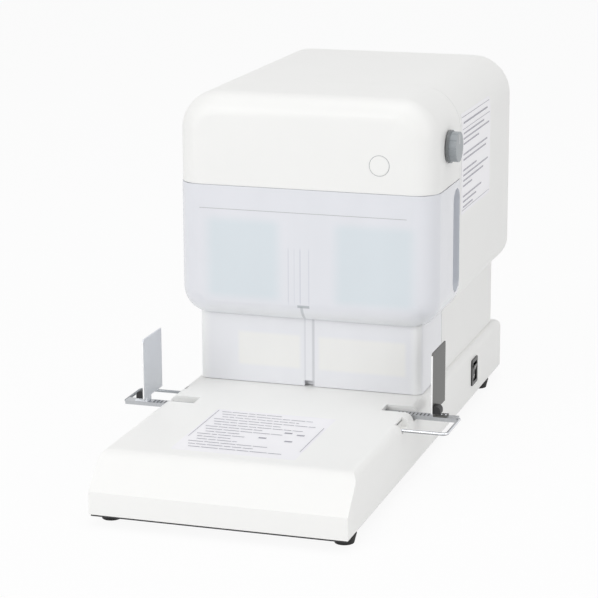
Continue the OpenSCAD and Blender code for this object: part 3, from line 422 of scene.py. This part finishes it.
def dress_cad():
    """Gives each node its own finish, or else that of its material slot."""
    for part in frame["record"]["subparts"]:
        obj = nodes[part["node"]]
        for place in obj.material_slots:
            place.material = OWN_FINISH.get(part["node"], FINISHES[part["material_slot"]])


# ---------- pieces ----------

SLOT_OF = {p["node"]: p["material_slot"] for p in frame["record"]["subparts"]}


def body_of(node):
    """Name of the body that a node is on."""
    bodies = frame["record"]["behaviour"]["bodies"]
    return next(body for body, members in bodies.items() if node in members)


def skin(bm, loops, gap=0):
    """Faces from each loop of points to the next; gap leaves that many of them out at the end."""
    for a, b in zip(loops, loops[1:]):
        for i in range(len(a) - gap):
            j = (i + 1) % len(a)
            bm.faces.new((a[i], a[j], b[j], b[i]))


def finished_mesh(bm, name, material, body, smooth=30):
    """Makes a piece from a bmesh, shades it and, if a body is named, lets it ride on that."""
    data = bpy.data.meshes.new(name)
    bm.to_mesh(data)
    bm.free()
    data.shade_smooth()
    data.set_sharp_from_angle(angle=math.radians(smooth))
    data.materials.append(material)
    obj = bpy.data.objects.new(name, data)
    bpy.context.scene.collection.objects.link(obj)
    if body:
        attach(obj, body)
    return obj


def rounded(bm, edges, width, **options):
    """Rounds edges of a bmesh by a small radius."""
    bmesh.ops.bevel(bm, geom=edges, offset=width, segments=2, profile=0.5,
                    affect="EDGES", **options)


def softened(node, width):
    """The CAD node with its sharp edges rounded by a small radius, in its place."""
    same_point, same_plane, sharp_from = 0.002 * MM, math.radians(0.6), math.radians(32)
    bm = bmesh.new()
    bm.from_mesh(nodes[node].data)
    bmesh.ops.remove_doubles(bm, verts=bm.verts, dist=same_point)
    bmesh.ops.dissolve_limit(bm, angle_limit=same_plane, verts=bm.verts, edges=bm.edges)
    sharp = [e for e in bm.edges if len(e.link_faces) == 2 and e.calc_face_angle(0) > sharp_from]
    rounded(bm, sharp, width, clamp_overlap=True)
    slot = SLOT_OF[node]
    finish = OWN_FINISH.get(node, FINISHES[slot])
    obj = finished_mesh(bm, node + "_shell", finish, body_of(node))
    weighted = obj.modifiers.new("even shading", "WEIGHTED_NORMAL")
    weighted.keep_sharp = True
    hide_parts(node)


SOFT_EDGES = {
    "base_housing": 0.5 * MM, "front_cover": 0.4 * MM, "rear_housing": 0.4 * MM,
    "column_cover": 0.5 * MM, "guide_plate_left": 0.2 * MM, "guide_plate_right": 0.2 * MM,
    "guide_grip_left": 0.6 * MM, "guide_grip_right": 0.6 * MM, "start_button": 0.5 * MM,
    "depth_knob": 0.4 * MM, "switch_frame": 0.3 * MM, "rocker": 0.3 * MM,
    "lower_guard": 0.3 * MM, "chip_bin": 0.3 * MM, "feet": 0.5 * MM,
}


def clamp_spring(node, wire, turns=7, steps=32, sides=12):
    """Round-wire coil in the clamp spring's box, from the clamp at its lower end to the carriage at its
    upper end.
    """
    lo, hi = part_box(node)
    middle = (Vector(lo) + Vector(hi)) / 2
    radius = (hi[0] - lo[0]) / 2 - wire / 2
    low, high = lo[2] + wire / 2, hi[2] - wire / 2
    bm = bmesh.new()
    rings = []
    for i in range(turns * steps + 1):
        turn = 2 * math.pi * i / steps
        height = low + (high - low) * i / (turns * steps)
        ring = []
        for j in range(sides):
            around = 2 * math.pi * j / sides
            reach = radius + wire / 2 * math.cos(around)
            x, y = middle.x + reach * math.cos(turn), middle.y + reach * math.sin(turn)
            ring.append(bm.verts.new((x, y, height + wire / 2 * math.sin(around))))
        rings.append(ring)
    skin(bm, rings)
    bm.faces.new(list(reversed(rings[0])))
    bm.faces.new(rings[-1])
    bmesh.ops.recalc_face_normals(bm, faces=bm.faces)
    slot = SLOT_OF[node]
    obj = finished_mesh(bm, node + "_coil", FINISHES[slot], None, 50)
    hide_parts(node)
    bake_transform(obj)


# ---------- trim, in millimetres ----------

HEAD_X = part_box("rear_housing")[1][0] / MM
HEAD_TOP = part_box("rear_housing")[1][2] / MM
HEAD_TOP_R = 43
TABLE = 68.5
FILM = 0.15
ACROSS = ((1, 2), (2, 0), (0, 1))


def add_bar(bm, lo, hi, material=0):
    """Small block between two corners."""
    size = [(b - a) * MM for a, b in zip(lo, hi)]
    middle = Vector([(a + b) / 2 * MM for a, b in zip(lo, hi)])
    made = bmesh.ops.create_cube(bm, size=1, matrix=Matrix.LocRotScale(middle, None, size))
    for face in {f for v in made["verts"] for f in v.link_faces}:
        face.material_index = material


def add_ring(bm, centre, axis, inner, outer, height, count=48):
    """Flat ring round an axis, its two faces height apart."""
    across, along = ACROSS[axis]
    loops = []
    for lift, radius in ((0, inner), (0, outer), (height, outer), (height, inner)):
        loop = []
        for i in range(count):
            angle = 2 * math.pi * i / count
            place = [c * MM for c in centre]
            place[across] += radius * MM * math.cos(angle)
            place[along] += radius * MM * math.sin(angle)
            place[axis] += lift * MM
            loop.append(bm.verts.new(place))
        loops.append(loop)
    skin(bm, loops + loops[:1])
    bmesh.ops.recalc_face_normals(bm, faces=bm.faces)


def trim(name, bm, material, body, extra=None):
    """Piece of trim on a body; faces with material index 1 take the extra material."""
    obj = finished_mesh(bm, name, material, body)
    if extra:
        obj.data.materials.append(extra)


def middle_of(node):
    """Middle of a node's box."""
    return [(a + b) / 2 / MM for a, b in zip(*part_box(node))]


def curved_side(z):
    """X of the rear housing's right side at a height."""
    low = HEAD_TOP - HEAD_TOP_R
    if z <= low:
        return HEAD_X
    return HEAD_X - HEAD_TOP_R + math.sqrt(HEAD_TOP_R ** 2 - (z - low) ** 2)


def inset_at_end(distance, radius):
    """How far a rounded corner draws the edge in, at a distance from the end."""
    if distance >= radius:
        return 0
    return radius - math.sqrt(radius ** 2 - (radius - distance) ** 2)


def film_rows(low, high, radius):
    """Steps from low to high, close together in the rounded corners."""
    corner = [radius * (1 - math.cos(math.radians(a))) for a in range(0, 91, 15)]
    middle = [low + radius + (high - low - 2 * radius) * i / 12 for i in range(1, 12)]
    return [low + c for c in corner] + middle + [high - c for c in reversed(corner)]


def label_film(name, rows, body):
    """Thin film from rows of edge points."""
    bm = bmesh.new()
    pairs = [[bm.verts.new(Vector(p) * MM) for p in row] for row in rows]
    for a, b in zip(pairs, pairs[1:]):
        bm.faces.new((a[0], a[1], b[1], b[0]))
    bmesh.ops.recalc_face_normals(bm, faces=bm.faces)
    bmesh.ops.solidify(bm, geom=bm.faces[:], thickness=FILM * MM)
    trim(name, bm, LABEL, body)


def dashes(start, end, seed):
    """Uneven stretches of a line with small gaps between them; the seed sets their lengths."""
    shortest_left, shortest, per_step, word_gap = 2, 5, 0.7, 1.3
    places, at, step = [], start, seed
    while at < end - shortest_left:
        step = (step * 7 + 5) % 19
        stop = min(at + shortest + step * per_step, end)
        places.append((at, stop))
        at = stop + word_gap
    return places


def side_label():
    """Bare film on the right side, with plain dashed lines and three rules."""
    y0, y1, z0, z1, corner = 72, 205, 244, 353, 3
    film_off, line_off, line_high = 0.25, 0.3, 0.14
    border, second_rule, half_rule = 4, 17, 0.3
    line_start, first_line, line_step, half_line = 80, 10.5, 5.7, 0.9
    rows = []
    for z in film_rows(z0, z1, corner):
        inset = inset_at_end(min(z - z0, z1 - z), corner)
        x = curved_side(z) + film_off
        rows.append([(x, y0 + inset, z), (x, y1 - inset, z)])
    label_film("side_label", rows, "machine")
    bm = bmesh.new()
    for z in (z1 - border, z1 - second_rule, z0 + border):
        x = curved_side(z) + line_off
        add_bar(bm, (x, y0 + border, z - half_rule), (x + line_high, y1 - border, z + half_rule))
    lengths = (110, 0, 96, 118, 70, 0, 112, 104, 0, 60, 114, 92, 40, 0, 84, 60, 44)
    for i, length in enumerate(lengths):
        z = z1 - first_line - i * line_step
        x = curved_side(z) + line_off
        for a, b in dashes(line_start, line_start + length, i):
            add_bar(bm, (x, a, z - half_line), (x + line_high, b, z + half_line))
    trim("side_label_lines", bm, LABEL_LINE, "machine")


def table_label():
    """Bare film on the paper table, with plain dashed lines, four short bars and two thin edges."""
    x0, x1, y0, y1, corner = -66, 62, -266, -127, 3
    film_off, half_rule, first_line, line_step, half_line = 0.02, 0.3, 8, 8.4, 0.55
    rows = []
    for y in film_rows(y0, y1, corner):
        inset = inset_at_end(min(y - y0, y1 - y), corner)
        rows.append([(x0 + inset, y, TABLE + film_off), (x1 - inset, y, TABLE + film_off)])
    label_film("table_label", rows, "machine")
    bm = bmesh.new()
    low, high = TABLE + 0.05 + FILM, TABLE + 0.13 + FILM
    for x, a, b in ((x0 + 3, -222, y1 - 4), (x1 - 3, -240, -160)):
        add_bar(bm, (x - half_rule, a, low), (x + half_rule, b, high))
    lengths = (62, 96, 84, 104, 70, 96, 58, 80, 40, 46, 34, 44, 78, 66, 98)
    for i, length in enumerate(lengths):
        y = y1 - first_line - i * line_step
        for a, b in dashes(x0 + 8 + (i % 3) * 3, x0 + 12 + length, i + 3):
            add_bar(bm, (a, y - half_line, low), (b, y + half_line, high))
    for x, y in ((10, -208), (38, -212), (30, -186), (44, -190)):
        add_bar(bm, (x - 4, y - 1.6, low), (x + 4, y + 1.6, high))
    trim("table_label_lines", bm, LABEL_LINE, "machine")


def seam_strip():
    """Light strip in the seam between the cover and the bin, along the cover's lower edge."""
    rear, half_width, depth, near_edge = 60 * MM, 0.1408, 0.0987, 0.975
    cover = nodes["front_cover"].data
    low = min(v.co.z for v in cover.vertices)
    around = {(v.co.x, v.co.y) for v in cover.vertices if v.co.z < low + 0.3 * MM and v.co.y < rear}
    edge = sorted(around, key=lambda p: math.atan2(p[0], -(p[1] - rear)))
    outline = [p for p in edge if max(abs(p[0]) / half_width, (rear - p[1]) / depth) > near_edge]
    bm = bmesh.new()
    loops = []
    for shrink, z in ((0.15, -0.3), (2.6, -0.3), (2.6, -0.02), (0.15, -0.02)):
        narrower, shorter = 1 - shrink * MM / half_width, 1 - shrink * MM / depth
        loops.append([bm.verts.new((x * narrower, rear + (y - rear) * shorter, low + z * MM))
                      for x, y in outline])
    skin(bm, loops + loops[:1], 1)
    bmesh.ops.recalc_face_normals(bm, faces=bm.faces)
    trim("seam_strip", bm, SEAM, "machine")


def bin_line():
    """Fine moulded line across the bin's front, drawn in painted groove shade."""
    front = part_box("chip_bin")[0][1] / MM
    bm = bmesh.new()
    add_bar(bm, (-115, front - 0.05, 260.2), (111, front + 0.3, 260.8))
    trim("bin_line", bm, GROOVE_SHADE, "chip_bin")


def button_gap():
    """Shade in the gap around the start button, just clear of the button itself."""
    x, _, z = middle_of("start_button")
    front, inner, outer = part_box("front_cover")[0][1] / MM, 10.45, 11
    bm = bmesh.new()
    add_ring(bm, (x, front - 0.02, z), 1, inner, outer, 0.3)
    trim("button_gap", bm, GROOVE_SHADE, "machine")


def knob_mark():
    """Pointer line on the end of the depth knob."""
    _, y, z = middle_of("depth_knob")
    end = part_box("depth_knob")[1][0] / MM
    bm = bmesh.new()
    add_bar(bm, (end - 0.2, y - 0.6, z + 3), (end + 0.12, y + 0.6, z + 13))
    rounded(bm, bm.edges[:], 0.08 * MM)
    trim("knob_mark", bm, MARK, "depth_knob")


def switch_marks():
    """On and off marks on the two faces of the rocker, which rests turned to one side."""
    y, face, height, lean = middle_of("rocker")[1], 132.05, 0.2, math.radians(8)
    on_low, on_high, off_z = 43.5, 47.5, 35.4
    pivot = Vector((123, y, 40.5)) * MM
    bm = bmesh.new()
    add_bar(bm, (face, y - 0.45, on_low), (face + height, y + 0.45, on_high))
    add_ring(bm, (face, y, off_z), 0, 1.5, 2.2, height, 24)
    turn = Matrix.Rotation(lean, 4, "Y")
    turn = Matrix.Translation(pivot) @ turn @ Matrix.Translation(-pivot)
    bmesh.ops.transform(bm, matrix=turn, verts=bm.verts)
    trim("rocker_marks", bm, MARK, "rocker")


def inlet_pins():
    """Three flat pins in the power inlet."""
    root, tip = 302.5, 314
    bm = bmesh.new()
    for x, z in ((-76, 37), (-64, 37), (-70, 42)):
        add_bar(bm, (x - 1, root, z - 2), (x + 1, tip, z + 2))
    rounded(bm, bm.edges[:], 0.4 * MM)
    trim("inlet_pins", bm, FINISHES["bright_steel"], "machine")


def screw_heads(name, places, axis, sign, radius, body, material):
    """Low domed screw heads with cross slots drawn in painted shade, along one axis."""
    dome = ((radius, 0), (radius, 0.35), (radius * 0.86, 0.7), (radius * 0.5, 0.9))
    half_long, half_wide, slot_low, slot_high = radius * 0.55, radius * 0.12, 0.7, 0.94
    across, along = ACROSS[axis]
    bm = bmesh.new()
    for place in places:
        loops = []
        for r, lift in dome:
            loop = []
            for degrees in range(0, 360, 15):
                point = list(place)
                point[across] += r * math.cos(math.radians(degrees))
                point[along] += r * math.sin(math.radians(degrees))
                point[axis] += sign * lift
                loop.append(bm.verts.new([p * MM for p in point]))
            loops.append(loop)
        skin(bm, loops)
        bm.faces.new(loops[-1])
        for long, short in ((across, along), (along, across)):
            lo, hi = list(place), list(place)
            lo[long] -= half_long
            hi[long] += half_long
            lo[short] -= half_wide
            hi[short] += half_wide
            lo[axis], hi[axis] = sorted(place[axis] + sign * lift for lift in (slot_low, slot_high))
            add_bar(bm, lo, hi, 1)
    bmesh.ops.recalc_face_normals(bm, faces=bm.faces)
    trim(name, bm, material, body, SLOT_SHADE)


GUIDES = ((-1, "guide_left", "rack_arm_left"), (1, "guide_right", "rack_arm_right"))


def arm_middle(side, arm):
    """Middle of a rack arm's smooth part, beside its teeth."""
    return middle_of(arm)[1] + side * 1.3


def fasteners():
    """Screws in the bottom plate and the back, and two rivets in each guide plate's tab."""
    steel, screw, rivet, tab_top = FINISHES["bright_steel"], 3.2, 1.7, 64 + 1.6
    plate_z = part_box("base_plate")[0][2] / MM
    under = [(x, y, plate_z) for x in (-112, 0, 112) for y in (-262, -60, 120, 292)]
    screw_heads("bottom_screws", under, 2, -1, screw, "machine", steel)
    back_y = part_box("rear_housing")[1][1] / MM
    back = [(x, back_y, z) for x in (-104, 104) for z in (176, 346)]
    screw_heads("back_screws", back, 1, 1, screw, "machine", steel)
    for side, body, arm in GUIDES:
        places = [(side * x, arm_middle(side, arm), tab_top) for x in (157, 161.5)]
        screw_heads(body + "_rivets", places, 2, 1, rivet, body, steel)


def slot_liners():
    """Pale walls round the openings in the table, between its underside and the tray, and
    round the right rod's opening."""
    pinion_y, arm_off, half_slot, wall = -88, 16.2, 10.9, 0.5
    inner, outer = 97, 127.8
    under, floor, above_arm = 65.4, 59.8, 64.3
    bm = bmesh.new()
    for side in (1, -1):
        y0, y1 = pinion_y + side * arm_off - half_slot, pinion_y + side * arm_off + half_slot
        for a, b in ((y0 - wall, y0), (y1, y1 + wall)):
            lo, hi = sorted((side * inner, side * outer))
            add_bar(bm, (lo, a, floor), (hi, b, under))
        lo, hi = sorted((side * (inner - wall), side * inner))
        add_bar(bm, (lo, y0, above_arm), (hi, y1, under))
    rod_x, rod_front, rod_back, rod_low, rod_floor = 122.4, -127, -99.9, 58.2, 58.6
    rod_wall_front = -121.6
    add_bar(bm, (rod_x, rod_wall_front, rod_floor), (rod_x + wall, rod_back, under))
    add_bar(bm, (rod_x, rod_front, rod_low), (outer, rod_back, rod_floor))
    add_bar(bm, (rod_x + wall, rod_back, rod_floor), (outer, rod_back + wall, under))
    trim("slot_liners", bm, FINISHES["housing_white"], "machine")


def arm_ticks():
    """Row of fine slots along the outer part of each rack arm, drawn in painted shade."""
    first, step, count = 112, 4, 9
    for side, body, arm in GUIDES:
        y, top = arm_middle(side, arm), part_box(arm)[1][2] / MM
        bm = bmesh.new()
        for i in range(count):
            x = side * (first + step * i)
            add_bar(bm, (x - 0.7, y - 4, top - 0.2), (x + 0.7, y + 4, top + 0.05))
        trim(body + "_slots", bm, SLOT_SHADE, body)


# ---------- stage ----------


def shared_white(name, share):
    """Surface that is mostly plain white to the camera and in reflections; the rest of it
    is a lit surface, which keeps the shadow."""
    f = Finish(name, "f4f4f4", 0.9)
    path = f.tree.nodes.new("ShaderNodeLightPath")
    seen = Level(f, path.outputs["Is Camera Ray"]) + Level(f, path.outputs["Is Glossy Ray"])
    glow = f.tree.nodes.new("ShaderNodeEmission")
    glow.inputs["Strength"].default_value = 1.0
    blend = f.tree.nodes.new("ShaderNodeMixShader")
    output = f.tree.nodes["Material Output"]
    f.tree.links.new((seen * share).socket, blend.inputs[0])
    f.tree.links.new(f.shader.outputs[0], blend.inputs[1])
    f.tree.links.new(glow.outputs[0], blend.inputs[2])
    f.tree.links.new(blend.outputs[0], output.inputs["Surface"])
    return f.material


def add_stage():
    """Pale floor, wide enough that its edge shows from no side."""
    bm = bmesh.new()
    bmesh.ops.create_grid(bm, x_segments=1, y_segments=1, size=40)
    data = bpy.data.meshes.new("floor")
    bm.to_mesh(data)
    bm.free()
    data.materials.append(shared_white("pale floor", 0.92))
    floor = bpy.data.objects.new("floor", data)
    bpy.context.scene.collection.objects.link(floor)


def add_lamp(name, place, aim, size, power):
    """Round soft lamp that looks at a point."""
    data = bpy.data.lights.new(name, "AREA")
    data.shape = "DISK"
    data.size = size
    data.energy = power
    lamp = bpy.data.objects.new(name, data)
    lamp.location = place
    lamp.rotation_euler = (Vector(aim) - Vector(place)).to_track_quat("-Z", "Y").to_euler()
    bpy.context.scene.collection.objects.link(lamp)


def add_lamps():
    """Soft light from the front left, a weaker one from the right, and one from above."""
    middle = (0, 0, 0.15)
    add_lamp("key lamp", (-1.6, -2.8, 1.4), middle, 2.4, 39)
    add_lamp("side lamp", (2.8, -0.9, 1.2), middle, 2.2, 17)
    add_lamp("top lamp", (0.2, -0.2, 3.0), middle, 2.6, 22.5)


def add_world():
    """Light grey all round, but white where the camera, a reflection or a clear part sees it."""
    world = bpy.data.worlds.new("studio")
    bpy.context.scene.world = world
    world.use_nodes = True
    tree = world.node_tree
    path = tree.nodes.new("ShaderNodeLightPath")
    white_seen = path.outputs["Is Camera Ray"]
    for ray in ("Is Glossy Ray", "Is Transmission Ray"):
        either = tree.nodes.new("ShaderNodeMath")
        either.operation = "ADD"
        either.use_clamp = True
        tree.links.new(white_seen, either.inputs[0])
        tree.links.new(path.outputs[ray], either.inputs[1])
        white_seen = either.outputs[0]
    mix = tree.nodes.new("ShaderNodeMix")
    mix.data_type = "RGBA"
    mix.inputs[MIX_LOW].default_value = (0.47, 0.47, 0.475, 1)
    mix.inputs[MIX_HIGH].default_value = (1, 1, 1, 1)
    tree.links.new(white_seen, mix.inputs[MIX_FACTOR])
    tree.links.new(mix.outputs[MIX_COLOUR], tree.nodes["Background"].inputs["Color"])


add_camera()
dress_cad()
for part, edge in SOFT_EDGES.items():
    softened(part, edge)
clamp_spring("clamp_spring_left", 1.6 * MM)
clamp_spring("clamp_spring_right", 1.6 * MM)
side_label()
table_label()
bin_line()
seam_strip()
button_gap()
knob_mark()
switch_marks()
inlet_pins()
fasteners()
slot_liners()
arm_ticks()
add_stage()
add_lamps()
add_world()
bpy.context.scene.view_settings.view_transform = "Standard"
